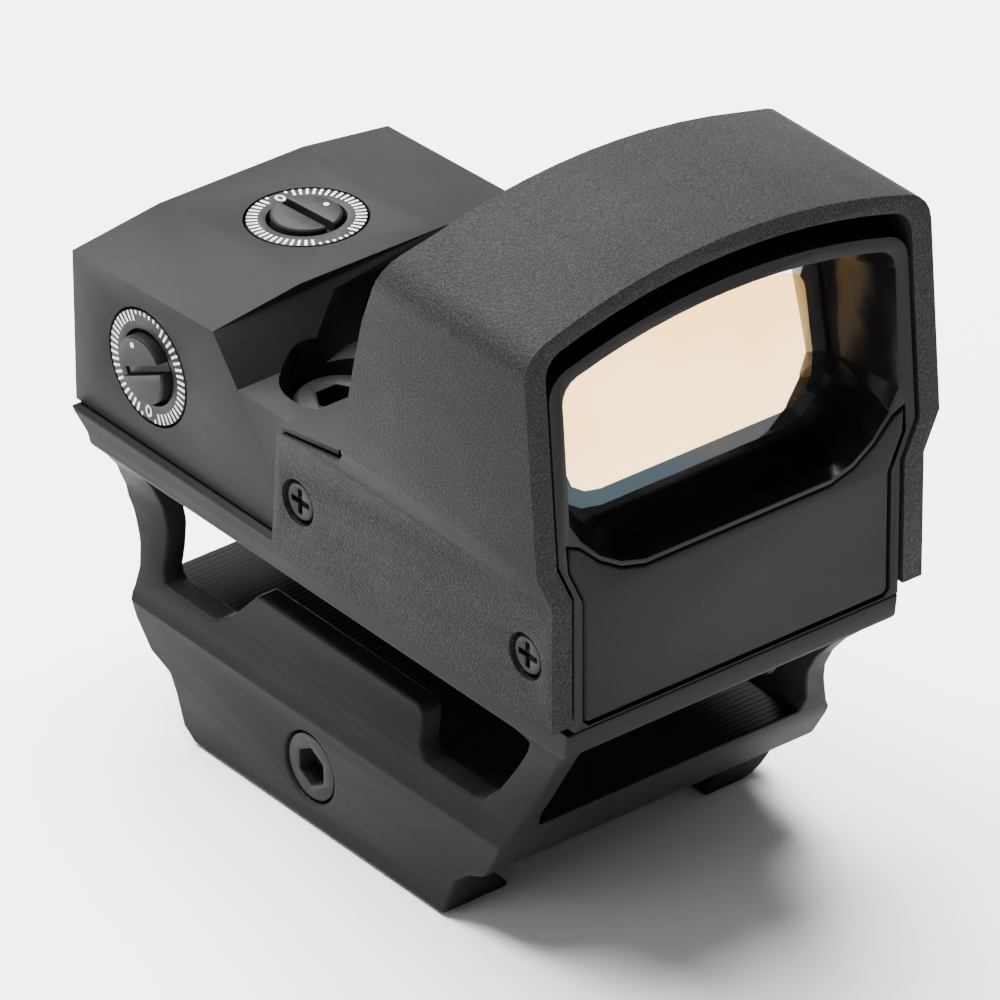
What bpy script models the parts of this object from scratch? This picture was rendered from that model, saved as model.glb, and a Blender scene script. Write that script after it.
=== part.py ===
"""Compact reflex (red dot) sight with a protective hood, on a clamp-on riser mount.

Frame: +Z up, the window looks along -Y, and the object's right-hand side is -X.
The origin is under the middle of the object, on the plane its two jaws stand on.
Every length below is in millimetres; the helpers turn them into metres.
"""
import math

import bmesh
import bpy
from mathutils import Matrix, Vector

MM = 0.001
GAP = 0.3

# Riser mount and rail clamp
BASE_HALF_WIDTH = 14.28
RAIL_SEAT_Z = 4.9
RAIL_HALF_WIDTH = 10.6
RAIL_CLEARANCE = 0.15
RAIL_WIDEST_Z = 2.2
JAW_LIP_X = 8.75
FLOOR_Z = 9.2
FLANGE_BOTTOM_Z = 18.4
FLANGE_TOP_Z = 20.6
PILLAR_WALL = 1.75
CLAMP_Y = 0.76
CLAMP_Z = 4.43
CLAMP_HEAD_R = 2.49
CLAMP_SHANK_R = 1.9

# Sight housing
HOUSING_BOTTOM_Z = 20.9
HOUSING_HALF_WIDTH = 13.6
FRONT_HALF_WIDTH = 13.8
HOUSING_REAR_Y = 27.3
DECK_Z = 30.1
LEDGE_Y = 1.75
LEDGE_HALF_WIDTH = 15.55
WALL_INNER_X = 11.5
CAVITY_FRONT_Y = -20.5
CAVITY_REAR_Y = 25.0
COVER_RECESS_TOP_Z = 22.1
ROOF_REAR_Z = 33.6
ROOF_RISE = 0.05
ROOF_SHOULDER_DROP = 1.0
ROOF_FLAT_HALF_WIDTH = 6.2
BLOCK_FRONT_Y = 11.6
SLOPE_FOOT_Y = 8.9

# Adjusters
ELEVATION_Y = 18.9
WINDAGE_Y = 18.96
WINDAGE_Z = 27.2
DIAL_R = 4.17
DIAL_INNER_R = 2.78
SLOT_WIDTH = 0.7
SLOT_DEPTH = 0.8
SLOT_HALF_LENGTH = 3.2
ELEVATION_SLOT_TURN = 5.0
WINDAGE_SLOT_TURN = -25.6
BOSS_R = 2.49
BOSS_PROUD = 0.7
ELEVATION_PROUD = 0.4
SCREW_R = 1.3
CLIP_INNER_R = 1.4
CLIP_OUTER_R = 2.6
EMITTER_Z = 30.55
EMITTER_R = 0.55
REAR_BAY_TOP_Z = 32.0

# Hood and window
HOOD_HALF_WIDTH = 17.05
HOOD_LOWER_HALF_WIDTH = 15.76
HOOD_TOP_Z = 52.7
HOOD_BOTTOM_Z = 21.6
HOOD_FRONT_Y = -27.3
HOOD_TOP_REAR_Y = -11.5
HOOD_SIDE_WALL = 1.7
HOOD_TOP_WALL = 1.3
CROWN_R = 50.0
KINK_LOW_Z = 31.2
KINK_HIGH_Z = 34.0
LEAN = 0.083
FRAME_HALF_WIDTH = 15.05
FRAME_TOP_Z = 49.65
RIM_WIDTH = 0.85
LENS_TILT = math.radians(10.0)
LENS_MID_Z = 40.5
LENS_FRONT_Y = -21.2
LENS_THICKNESS = 3.0
SEAT_HALF_WIDTH = 12.3
SEAT_TOP_Z = 47.4
SEAT_BOTTOM_Z = 33.4

HOOD_SCREWS = [(-0.36, 26.5), (-24.5, 26.3)]
HOOD_SCREW_R = 1.46
MOUNT_SCREW_XY = (7.5, 5.65)
MOUNT_WELL_R = 4.1
BUTTON_PLACES = [(16.6, 25.7), (22.1, 25.7)]
BATTERY_Y = -10.2
BATTERY_R = 10.0


# ---------------------------------------------------------------- helpers

def clear_scene():
    for old in list(bpy.data.objects):
        bpy.data.objects.remove(old, do_unlink=True)


def make_material(name, colour, roughness, metallic):
    material = bpy.data.materials.new(name)
    material.use_nodes = True
    shader = material.node_tree.nodes["Principled BSDF"]
    shader.inputs["Base Color"].default_value = (*colour, 1.0)
    shader.inputs["Roughness"].default_value = roughness
    shader.inputs["Metallic"].default_value = metallic
    return material


def add_object(name, bm):
    """Put a bmesh, in millimetres, into the scene as an object in metres."""
    bmesh.ops.remove_doubles(bm, verts=bm.verts, dist=1e-4)
    bmesh.ops.recalc_face_normals(bm, faces=bm.faces)
    bmesh.ops.scale(bm, vec=Vector((MM, MM, MM)), verts=bm.verts)
    mesh = bpy.data.meshes.new(name)
    bm.to_mesh(mesh)
    bm.free()
    item = bpy.data.objects.new(name, mesh)
    bpy.context.scene.collection.objects.link(item)
    return item


def loft(name, near, far):
    """Close the space between two outlines that have the same number of points."""
    bm = bmesh.new()
    first = [bm.verts.new(point) for point in near]
    last = [bm.verts.new(point) for point in far]
    bm.faces.new(first)
    bm.faces.new(list(reversed(last)))
    count = len(first)
    for i in range(count):
        j = (i + 1) % count
        bm.faces.new((first[i], last[i], last[j], first[j]))
    return add_object(name, bm)


def prism_x(name, outline, x_low, x_high):
    """Extrude a side view, a list of (y, z), along X."""
    near = [(x_low, y, z) for y, z in outline]
    far = [(x_high, y, z) for y, z in outline]
    return loft(name, near, far)


def prism_y(name, outline, y_low, y_high):
    """Extrude a front view, a list of (x, z), along Y."""
    near = [(x, y_low, z) for x, z in outline]
    far = [(x, y_high, z) for x, z in outline]
    return loft(name, near, far)


def slanted_y(name, outline, front, rear, lean):
    """Extrude a front view along Y between two planes that lean back with height."""
    near = [(x, front + lean * (z - LENS_MID_Z), z) for x, z in outline]
    far = [(x, rear + lean * (z - LENS_MID_Z), z) for x, z in outline]
    return loft(name, near, far)


def box(name, low, high):
    outline = [(low[0], low[2]), (high[0], low[2]), (high[0], high[2]), (low[0], high[2])]
    return prism_y(name, outline, low[1], high[1])


def turned(name, profile, origin, axis, segments=32):
    """Revolve a closed profile of (radius, height) about an axis through origin."""
    bm = bmesh.new()
    rings = []
    for step in range(segments):
        angle = 2.0 * math.pi * step / segments
        ring = []
        for radius, height in profile:
            x = radius * math.cos(angle)
            y = radius * math.sin(angle)
            ring.append(bm.verts.new((x, y, height)))
        rings.append(ring)
    count = len(profile)
    for step in range(segments):
        here = rings[step]
        there = rings[(step + 1) % segments]
        for i in range(count):
            j = (i + 1) % count
            corners = [here[i], there[i], there[j], here[j]]
            if profile[i][0] == 0.0 and profile[j][0] == 0.0:
                continue
            bm.faces.new(corners)
    bmesh.ops.remove_doubles(bm, verts=bm.verts, dist=1e-4)
    turn = Vector((0.0, 0.0, 1.0)).rotation_difference(Vector(axis)).to_matrix().to_4x4()
    bmesh.ops.transform(bm, matrix=Matrix.Translation(origin) @ turn, verts=bm.verts)
    return add_object(name, bm)


def rod(name, radius, start, end, segments=32):
    start = Vector(start)
    end = Vector(end)
    length = (end - start).length
    profile = [(0.0, 0.0), (radius, 0.0), (radius, length), (0.0, length)]
    return turned(name, profile, start, end - start, segments)


def ring(name, inner, outer, start, end, segments=32):
    start = Vector(start)
    end = Vector(end)
    length = (end - start).length
    profile = [(inner, 0.0), (outer, 0.0), (outer, length), (inner, length)]
    return turned(name, profile, start, end - start, segments)


def coil(name, radius, wire, turns, start, end, steps=10, sides=6):
    """A helical spring about the line from start to end."""
    start = Vector(start)
    end = Vector(end)
    rise = (end - start).length - 2.0 * wire
    total = int(turns * steps)
    bm = bmesh.new()
    loops = []
    for step in range(total + 1):
        angle = 2.0 * math.pi * step / steps
        height = wire + rise * step / total
        loop = []
        for side in range(sides):
            spin = 2.0 * math.pi * side / sides
            reach = radius + wire * math.cos(spin)
            z = height + wire * math.sin(spin)
            loop.append(bm.verts.new((reach * math.cos(angle), reach * math.sin(angle), z)))
        loops.append(loop)
    for here, there in zip(loops, loops[1:]):
        for i in range(sides):
            j = (i + 1) % sides
            bm.faces.new((here[i], here[j], there[j], there[i]))
    bm.faces.new(loops[0])
    bm.faces.new(loops[-1])
    turn = Vector((0.0, 0.0, 1.0)).rotation_difference(end - start).to_matrix().to_4x4()
    bmesh.ops.transform(bm, matrix=Matrix.Translation(start) @ turn, verts=bm.verts)
    return add_object(name, bm)


def boolean(target, operation, tools):
    for tool in tools:
        step = target.modifiers.new(tool.name, "BOOLEAN")
        step.operation = operation
        step.solver = "EXACT"
        step.object = tool
        tool.hide_render = True
        tool.display_type = "WIRE"


def cut(target, *tools):
    boolean(target, "DIFFERENCE", tools)


def fuse(target, *tools):
    boolean(target, "UNION", tools)


def keep_inside(target, tool):
    boolean(target, "INTERSECT", [tool])


def finish(item, material, smooth=True):
    """Give a finished piece its material and shade its round faces smooth."""
    item.data.materials.clear()
    item.data.materials.append(material)
    if smooth:
        item.data.shade_smooth()
        item.data.set_sharp_from_angle(angle=math.radians(35.0))


def set_origin(item, point):
    """Move a piece's origin to a point in millimetres and leave the piece in place."""
    shift = Vector(point) * MM
    item.data.transform(Matrix.Translation(-shift))
    item.location = shift


def swivel(item, centre, axis, degrees):
    """Turn a piece's shape about an axis through a centre in millimetres."""
    shift = Matrix.Translation(Vector(centre) * MM)
    turn = Matrix.Rotation(math.radians(degrees), 4, axis)
    item.data.transform(shift @ turn @ shift.inverted())


def mirrored(half):
    """Complete a half outline, listed from the bottom to the top at +X."""
    other = [(-x, z) for x, z in reversed(half) if x > 1e-6]
    return half + other


# ------------------------------------------------------- shared outlines

def arch_half(half_width, top_z, corner_r, steps=4):
    """Upper half outline at +X: the flank's top, a round corner and a shallow crown."""
    centre_x = half_width - corner_r
    crown_centre = top_z - CROWN_R
    reach = CROWN_R - corner_r
    centre_z = crown_centre + math.sqrt(reach ** 2 - centre_x ** 2)
    lean = math.asin(centre_x / reach)
    points = []
    for step in range(steps + 1):
        angle = (math.pi / 2.0 - lean) * step / steps
        x = centre_x + corner_r * math.cos(angle)
        points.append((x, centre_z + corner_r * math.sin(angle)))
    for step in range(1, 7):
        angle = lean * (1.0 - step / 6.0)
        points.append((CROWN_R * math.sin(angle), crown_centre + CROWN_R * math.cos(angle)))
    return points


def hood_section(lower, upper, top_z, corner_r, bottom_z):
    """Front view of the hood: straight plates, a kink outwards, flanks and a crown."""
    half = [(lower, bottom_z), (lower, KINK_LOW_Z), (upper, KINK_HIGH_Z)]
    return mirrored(half + arch_half(upper, top_z, corner_r))


def seat_section(inset):
    """Front view of the lens, smaller by inset all round."""
    half_width = SEAT_HALF_WIDTH - inset
    low = SEAT_BOTTOM_Z + inset
    corner = 4.2
    half = []
    for step in range(5):
        angle = math.pi / 2.0 * step / 4
        x = half_width - corner + corner * math.sin(angle)
        half.append((x, low + corner - corner * math.cos(angle)))
    half = [(0.0, low)] + half + arch_half(half_width, SEAT_TOP_Z - inset, 2.6)
    return mirrored(half)


def mouth_section():
    """Front view of the window's mouth, with as many points as the lens outline."""
    half_width = FRAME_HALF_WIDTH - RIM_WIDTH
    half = [(0.0, 31.6), (7.8, 31.6), (9.8, 32.2), (11.6, 33.3), (13.2, 34.9), (half_width, 36.4)]
    half += arch_half(half_width, FRAME_TOP_Z - RIM_WIDTH, 1.6)
    return mirrored(half)


def cover_section(grow):
    """Front view of the cover plate, larger by grow all round."""
    half = [(0.0, 21.2 - grow), (12.6, 21.2 - grow), (12.9 + grow, 21.5), (12.9 + grow, 30.6)]
    half += [(14.1 + grow, 33.3), (14.15 + grow, 35.1 + grow), (13.2, 34.6 + grow)]
    half += [(11.6, 33.05 + grow), (9.8, 31.95 + grow), (7.8, 31.4 + grow), (0.0, 31.4 + grow)]
    return mirrored(half)


# ------------------------------------------------------------ riser mount

def waist_half():
    """Half front view of the riser: jaw foot, side face, waist and flange."""
    waist = [(13.75, 9.0), (13.1, 10.5), (12.5, 12.0), (12.1, 13.5), (12.0, 15.0)]
    waist += [(12.35, 16.4), (13.1, 17.5), (14.1, 18.5)]
    return [(BASE_HALF_WIDTH, 0.0), (BASE_HALF_WIDTH, 8.2)] + waist + [(14.15, FLANGE_TOP_Z)]


def riser_side_view():
    """Side view of the riser, from its rear foot round over the flange to its front foot."""
    rear = [(13.7, 0.0), (14.9, 0.8), (15.7, 3.0), (16.4, 4.3), (18.5, 5.1), (20.2, 7.1)]
    rear += [(20.95, 8.6), (21.1, 10.2), (21.7, 11.5), (22.6, 12.8), (23.8, 14.2), (24.5, 15.7)]
    rear += [(24.9, 17.4), (25.5, 19.2), (26.9, 20.2), (27.2, FLANGE_TOP_Z)]
    front = [(-26.9, FLANGE_TOP_Z), (-26.7, 18.8), (-25.1, 17.5), (-23.9, 16.4), (-22.9, 15.1)]
    front += [(-22.0, 13.5), (-21.2, 11.5), (-20.4, 9.5), (-19.5, 7.5), (-18.1, 5.2)]
    front += [(-16.3, 4.4), (-15.1, 3.4), (-14.4, 1.8), (-13.7, 0.0)]
    return rear + front


def side_window_view():
    """Side view of the opening through each riser wall, with the hump in its sill."""
    sill = [(-15.6, 10.05), (-10.7, 10.05), (-9.7, 10.8), (-9.1, 12.9), (-8.5, 13.3), (9.0, 13.3)]
    sill += [(11.1, 10.9), (12.4, 10.1), (18.0, 10.1), (18.6, 10.9)]
    rear = [(18.9, 12.2), (19.3, 14.0), (20.0, 15.6), (20.7, 16.9), (20.6, 17.5), (20.2, 17.8)]
    front = [(-18.9, 17.7), (-19.9, 17.3), (-20.5, 16.6), (-20.4, 16.0), (-17.8, 11.4), (-16.8, 10.4)]
    return sill + rear + front


def clamp_axis(x):
    """A point on the clamp screw's axis."""
    return (x, CLAMP_Y, CLAMP_Z)


def build_riser(metal):
    outer = waist_half()
    riser = prism_y("riser_mount", mirrored(outer), -30.0, 30.0)
    profile = prism_x("riser_profile_guide", riser_side_view(), -20.0, 20.0)
    keep_inside(riser, profile)
    inner = [(11.2, FLOOR_Z)]
    inner += [(x - PILLAR_WALL, z) for x, z in outer[3:-1] if z < FLANGE_BOTTOM_Z - 0.5]
    inner += [(12.0, FLANGE_BOTTOM_Z)]
    tunnel = prism_y("riser_tunnel_cutter", mirrored(inner), -31.0, 31.0)
    windows = prism_x("riser_window_cutter", side_window_view(), -21.0, 21.0)
    half_rail = RAIL_HALF_WIDTH + RAIL_CLEARANCE
    groove = [(-JAW_LIP_X, -1.0), (-JAW_LIP_X, 0.45), (-half_rail, RAIL_WIDEST_Z)]
    groove += [(-half_rail, 3.4), (-half_rail + 0.6, RAIL_SEAT_Z), (half_rail - 0.4, RAIL_SEAT_Z)]
    groove += [(half_rail - 0.4, RAIL_SEAT_Z + GAP), (21.0, RAIL_SEAT_Z + GAP), (21.0, -1.0)]
    rail = prism_y("rail_groove_cutter", groove, -32.0, 32.0)
    pocket = box("jaw_pocket_cutter", (11.1, -8.3, 4.0), (22.0, 9.8, 8.3))
    head = rod("clamp_head_cutter", CLAMP_HEAD_R + 0.2, clamp_axis(-22.0), clamp_axis(-11.9))
    shank = rod("clamp_bore_cutter", CLAMP_SHANK_R + 0.25, clamp_axis(-13.0), clamp_axis(12.0), 24)
    cut(riser, tunnel, windows, rail, pocket, head, shank)
    x, y = MOUNT_SCREW_XY
    for side, name in ((-1, "right"), (1, "left")):
        hole = rod(f"riser_thread_{name}_cutter", 1.8, (side * x, y, 17.0), (side * x, y, 22.0), 20)
        cut(riser, hole)
    finish(riser, metal)


def build_clamp(metal, steel):
    lip = RAIL_HALF_WIDTH + RAIL_CLEARANCE
    outline = [(JAW_LIP_X, 0.0), (JAW_LIP_X, 0.45), (lip, RAIL_WIDEST_Z), (lip, 3.4), (lip + 0.1, 4.6)]
    outline += [(14.6, 4.6), (14.95, 4.2), (15.1, 3.6), (15.05, 2.7), (14.8, 1.9), (14.3, 1.2)]
    outline += [(13.6, 0.6), (12.8, 0.2), (11.9, 0.0)]
    jaw = prism_y("clamp_jaw", outline, -13.4, 13.4)
    lug = box("jaw_lug_guide", (11.4, -8.0, 4.0), (14.2, 9.5, 8.0))
    fuse(jaw, lug)
    bore = rod("jaw_thread_cutter", CLAMP_SHANK_R + 0.2, clamp_axis(5.0), clamp_axis(16.0), 24)
    cut(jaw, bore)
    finish(jaw, metal)

    head_x = -14.1
    length = 28.0
    profile = [(0.0, 0.0), (CLAMP_HEAD_R, 0.0), (CLAMP_HEAD_R, 2.0), (CLAMP_SHANK_R, 2.0)]
    profile += [(CLAMP_SHANK_R, length), (0.0, length)]
    screw = turned("clamp_screw", profile, clamp_axis(head_x), (1, 0, 0))
    cut(screw, rod("clamp_socket_cutter", 1.5, clamp_axis(-15.0), clamp_axis(-12.6), 6))
    set_origin(screw, clamp_axis(head_x))
    finish(screw, steel)


# --------------------------------------------------------------- housing

def roof_height(y):
    return ROOF_REAR_Z + ROOF_RISE * (HOUSING_REAR_Y - y)


def turret_block():
    """The rear block: two side facets and a flat roof that falls to the rear."""
    def section(y, foot_y):
        top = roof_height(y)
        shoulder = top - ROOF_SHOULDER_DROP
        wide = HOUSING_HALF_WIDTH
        flat = ROOF_FLAT_HALF_WIDTH
        points = [(-wide, foot_y, 25.0), (wide, foot_y, 25.0), (wide, foot_y, DECK_Z)]
        points += [(wide, y, shoulder), (flat, y, top), (-flat, y, top), (-wide, y, shoulder)]
        return points + [(-wide, foot_y, DECK_Z)]
    front = section(BLOCK_FRONT_Y, SLOPE_FOOT_Y)
    rear = section(HOUSING_REAR_Y, HOUSING_REAR_Y)
    return loft("turret_block_guide", front, rear)


def funnel():
    """The tapered recess that lets the emitter's beam out of the block's front."""
    floor = [(-9.9, 7.9, 29.1), (-3.2, 10.3, 29.1), (3.2, 10.3, 29.1), (9.9, 7.9, 29.1)]
    floor += [(9.0, 4.0, 30.3), (-9.0, 4.0, 30.3)]
    top = [(-9.9, 8.8, 33.3), (-3.0, 11.3, 33.3), (3.0, 11.3, 33.3), (9.9, 8.8, 33.3)]
    top += [(9.0, 4.0, 33.3), (-9.0, 4.0, 33.3)]
    return loft("funnel_cutter", floor, top)


def build_housing(metal):
    bottom = HOUSING_BOTTOM_Z
    wide = HOUSING_HALF_WIDTH
    housing = box("main_housing", (-wide, 0.0, bottom), (wide, HOUSING_REAR_Y, DECK_Z))
    front_view = [(LEDGE_Y, bottom), (LEDGE_Y, 31.45), (-4.6, 32.45), (-15.0, 33.0), (-20.0, 33.0)]
    front_view += [(-26.0, 30.5), (-26.0, bottom)]
    front = prism_x("front_body_guide", front_view, -FRONT_HALF_WIDTH, FRONT_HALF_WIDTH)
    ramp = [(LEDGE_Y - 0.05, 31.15), (LEDGE_Y - 0.05, 31.5), (-4.6, 32.5), (-4.6, 32.15)]
    ledge = prism_x("ledge_guide", ramp, -LEDGE_HALF_WIDTH, LEDGE_HALF_WIDTH)
    arch_outline = hood_section(FRONT_HALF_WIDTH, FRAME_HALF_WIDTH, FRAME_TOP_Z, 2.0, bottom)
    arch = loft("window_arch_guide", arch_plane(arch_outline, False), arch_plane(arch_outline, True))
    fuse(housing, front, turret_block(), ledge, arch)

    tilt = math.tan(LENS_TILT)
    lead = (LENS_MID_Z - KINK_HIGH_Z) * LEAN
    mouth = [(x, HOOD_FRONT_Y - 0.6 + lead + LEAN * (z - LENS_MID_Z), z) for x, z in mouth_section()]
    seat = [(x, LENS_FRONT_Y - 0.2 + tilt * (z - LENS_MID_Z), z) for x, z in seat_section(0.0)]
    tunnel = loft("window_mouth_cutter", mouth, seat)
    depth = LENS_FRONT_Y + LENS_THICKNESS + GAP
    pocket = slanted_y("lens_seat_cutter", seat_section(0.0), LENS_FRONT_Y - 0.3, depth, tilt)
    exit_hole = slanted_y("rear_aperture_cutter", seat_section(0.8), depth - 0.5, -5.0, tilt)
    cover = prism_y("cover_recess_cutter", cover_section(0.2), -30.0, -25.9)
    cut(housing, tunnel, pocket, exit_hole, cover)

    wall = WALL_INNER_X
    cover_top = (wall, CAVITY_REAR_Y, COVER_RECESS_TOP_Z)
    recess = box("cover_seat_cutter", (-wall, CAVITY_FRONT_Y, 19.0), cover_top)
    battery_bay = box("battery_bay_cutter", (-wall, CAVITY_FRONT_Y, 20.0), (wall, 0.3, 29.0))
    channel = box("cable_channel_cutter", (-2.6, -1.0, 20.0), (2.6, 13.0, 28.6))
    rear_bay = box("rear_bay_cutter", (-wall, 12.0, 20.0), (wall, CAVITY_REAR_Y, REAR_BAY_TOP_Z))
    window = rod("emitter_window_cutter", 1.6, (0, 8.0, EMITTER_Z), (0, 13.0, EMITTER_Z), 20)
    cut(housing, recess, battery_bay, channel, rear_bay, funnel(), window)

    x, y = MOUNT_SCREW_XY
    for side, name in ((-1, "right"), (1, "left")):
        well = rod(f"well_{name}_cutter", MOUNT_WELL_R, (side * x, y, 26.4), (side * x, y, 34.0), 32)
        hole = rod(f"screw_hole_{name}_cutter", 1.8, (side * x, y, 19.0), (side * x, y, 28.0), 20)
        cut(housing, well, hole)

    roof_z = roof_height(ELEVATION_Y)
    slope = math.atan(ROOF_RISE)
    roof_normal = Vector((0.0, math.sin(slope), math.cos(slope)))
    centre = Vector((0.0, ELEVATION_Y, roof_z))
    seat_r = DIAL_R + 0.2
    seat_floor = centre - roof_normal * 1.3
    dial_seat = rod("elevation_seat_cutter", seat_r, seat_floor, centre + roof_normal * 4.0)
    neck = rod("elevation_bore_cutter", 2.7, (0, ELEVATION_Y, 31.0), (0, ELEVATION_Y, 36.0), 24)
    side_seat = rod("windage_seat_cutter", seat_r, windage_axis(-16.0), windage_axis(-12.7))
    side_bore = rod("windage_bore_cutter", 2.1, windage_axis(-14.0), windage_axis(-10.0), 24)
    cut(housing, dial_seat, neck, side_seat, side_bore)
    for number, (y, z) in enumerate(BUTTON_PLACES, 1):
        hole = rod(f"button_hole_{number}_cutter", 2.3, (10.5, y, z), (15.0, y, z), 24)
        cut(housing, hole)
    for number, (y, z) in enumerate(HOOD_SCREWS, 1):
        for side, name in ((-1, "right"), (1, "left")):
            start = (side * 12.0, y, z)
            end = (side * 15.0, y, z)
            cut(housing, rod(f"hood_thread_{name}_{number}_cutter", 1.05, start, end, 16))
    finish(housing, metal)


def arch_plane(outline, rear):
    """Front or rear plane of the window arch; the front leans back above the kink."""
    points = []
    for x, z in outline:
        above = max(0.0, z - KINK_HIGH_Z)
        y = HOOD_FRONT_Y + 0.15 + LEAN * above
        if rear:
            y = -14.6 + 0.17 * above
        points.append((x, y, z))
    return points


def build_cover_plate(metal):
    plate = prism_y("front_cover_plate", cover_section(0.0), HOOD_FRONT_Y + 0.2, -26.2)
    finish(plate, metal)


def build_bottom_cover(metal):
    cover = box("bottom_cover", (-11.2, -20.2, 21.0), (11.2, 24.7, 21.8))
    x, y = MOUNT_SCREW_XY
    for side, name in ((-1, "right"), (1, "left")):
        cut(cover, rod(f"cover_hole_{name}_cutter", 2.0, (side * x, y, 19), (side * x, y, 24), 20))
    finish(cover, metal)


# ----------------------------------------------------------------- hood

def hood_side_view():
    """Side view of the hood: low plates at the rear, then the raised arch."""
    rear = [(2.1, HOOD_BOTTOM_Z), (2.55, HOOD_BOTTOM_Z + 0.5), (1.85, 30.9), (-4.9, 31.9)]
    rear += [(-5.6, 32.4), (-6.7, 33.6), (-7.3, 36.9), (-8.2, 41.0), (-9.2, 45.0), (-11.0, 49.7)]
    rear += [(HOOD_TOP_REAR_Y, 51.0), (HOOD_TOP_REAR_Y, 56.0)]
    top_front = HOOD_FRONT_Y + LEAN * (56.0 - KINK_HIGH_Z)
    front = [(top_front, 56.0), (HOOD_FRONT_Y, KINK_HIGH_Z), (HOOD_FRONT_Y, HOOD_BOTTOM_Z)]
    return rear + front


def build_hood(steel):
    outer = hood_section(HOOD_LOWER_HALF_WIDTH, HOOD_HALF_WIDTH, HOOD_TOP_Z, 2.4, HOOD_BOTTOM_Z - 2.0)
    inner_lower = FRONT_HALF_WIDTH + GAP
    inner_upper = HOOD_HALF_WIDTH - HOOD_SIDE_WALL
    inner = hood_section(inner_lower, inner_upper, HOOD_TOP_Z - HOOD_TOP_WALL, 1.8, HOOD_BOTTOM_Z - 3.0)
    hood = prism_y("hood_shield", outer, -40.0, 10.0)
    hollow = prism_y("hood_hollow_cutter", inner, -41.0, 11.0)
    side = prism_x("hood_profile_guide", hood_side_view(), -20.0, 20.0)
    cut(hood, hollow)
    keep_inside(hood, side)
    for number, (y, z) in enumerate(HOOD_SCREWS, 1):
        for sign, name in ((-1, "right"), (1, "left")):
            sink_r = HOOD_SCREW_R + 0.25
            stepped = [(0.0, 0.0), (1.05, 0.0), (1.05, 1.5), (sink_r, 1.5), (sink_r, 5.0), (0.0, 5.0)]
            title = f"hood_hole_{name}_{number}_cutter"
            cut(hood, turned(title, stepped, (sign * 13.05, y, z), (sign, 0, 0), 24))
    finish(hood, steel)


def build_hood_screws(steel):
    for number, (y, z) in enumerate(HOOD_SCREWS, 1):
        for sign, name in ((-1, "right"), (1, "left")):
            place = "rear" if number == 1 else "front"
            title = f"hood_screw_{place}_{name}"
            start = (sign * 15.55, y, z)
            profile = [(0.0, 0.0), (HOOD_SCREW_R - 0.15, 0.0), (HOOD_SCREW_R, 0.2), (HOOD_SCREW_R, 0.75)]
            profile += [(0.8, 0.75), (0.8, 3.2), (0.0, 3.2)]
            screw = turned(title, profile, start, (-sign, 0, 0), 24)
            for bar, (dy, dz) in enumerate(((0.95, 0.22), (0.22, 0.95))):
                low = (sign * 15.2, y - dy, z - dz)
                high = (sign * 16.0, y + dy, z + dz)
                low, high = (min(low[0], high[0]), low[1], low[2]), (max(low[0], high[0]), high[1], high[2])
                cut(screw, box(f"{title}_slot_{bar}_cutter", low, high))
            finish(screw, steel)


def build_mount_screws(steel):
    x, y = MOUNT_SCREW_XY
    for side, name in ((-1, "right"), (1, "left")):
        title = f"mount_screw_{name}"
        profile = [(0.0, 0.0), (1.5, 0.0), (1.5, 7.9), (3.2, 7.9), (3.2, 9.7), (2.9, 10.0), (0.0, 10.0)]
        screw = turned(title, profile, (side * x, y, 18.8), (0, 0, 1), 28)
        socket = rod(f"{title}_socket_cutter", 1.7, (side * x, y, 27.2), (side * x, y, 30.0), 6)
        cut(screw, socket)
        finish(screw, steel)


# ---------------------------------------------------------------- optics

def build_lens(glass, rubber):
    tilt = math.tan(LENS_TILT)
    rear = LENS_FRONT_Y + LENS_THICKNESS
    lens = slanted_y("objective_lens", seat_section(0.35), LENS_FRONT_Y, rear, tilt)
    finish(lens, glass)
    gasket = slanted_y("lens_gasket", seat_section(0.15), rear + 0.05, rear + 0.25, tilt)
    cut(gasket, slanted_y("gasket_bore_cutter", seat_section(0.8), rear - 1.0, rear + 1.5, tilt))
    finish(gasket, rubber)


# ------------------------------------------------------------- adjusters

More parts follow.
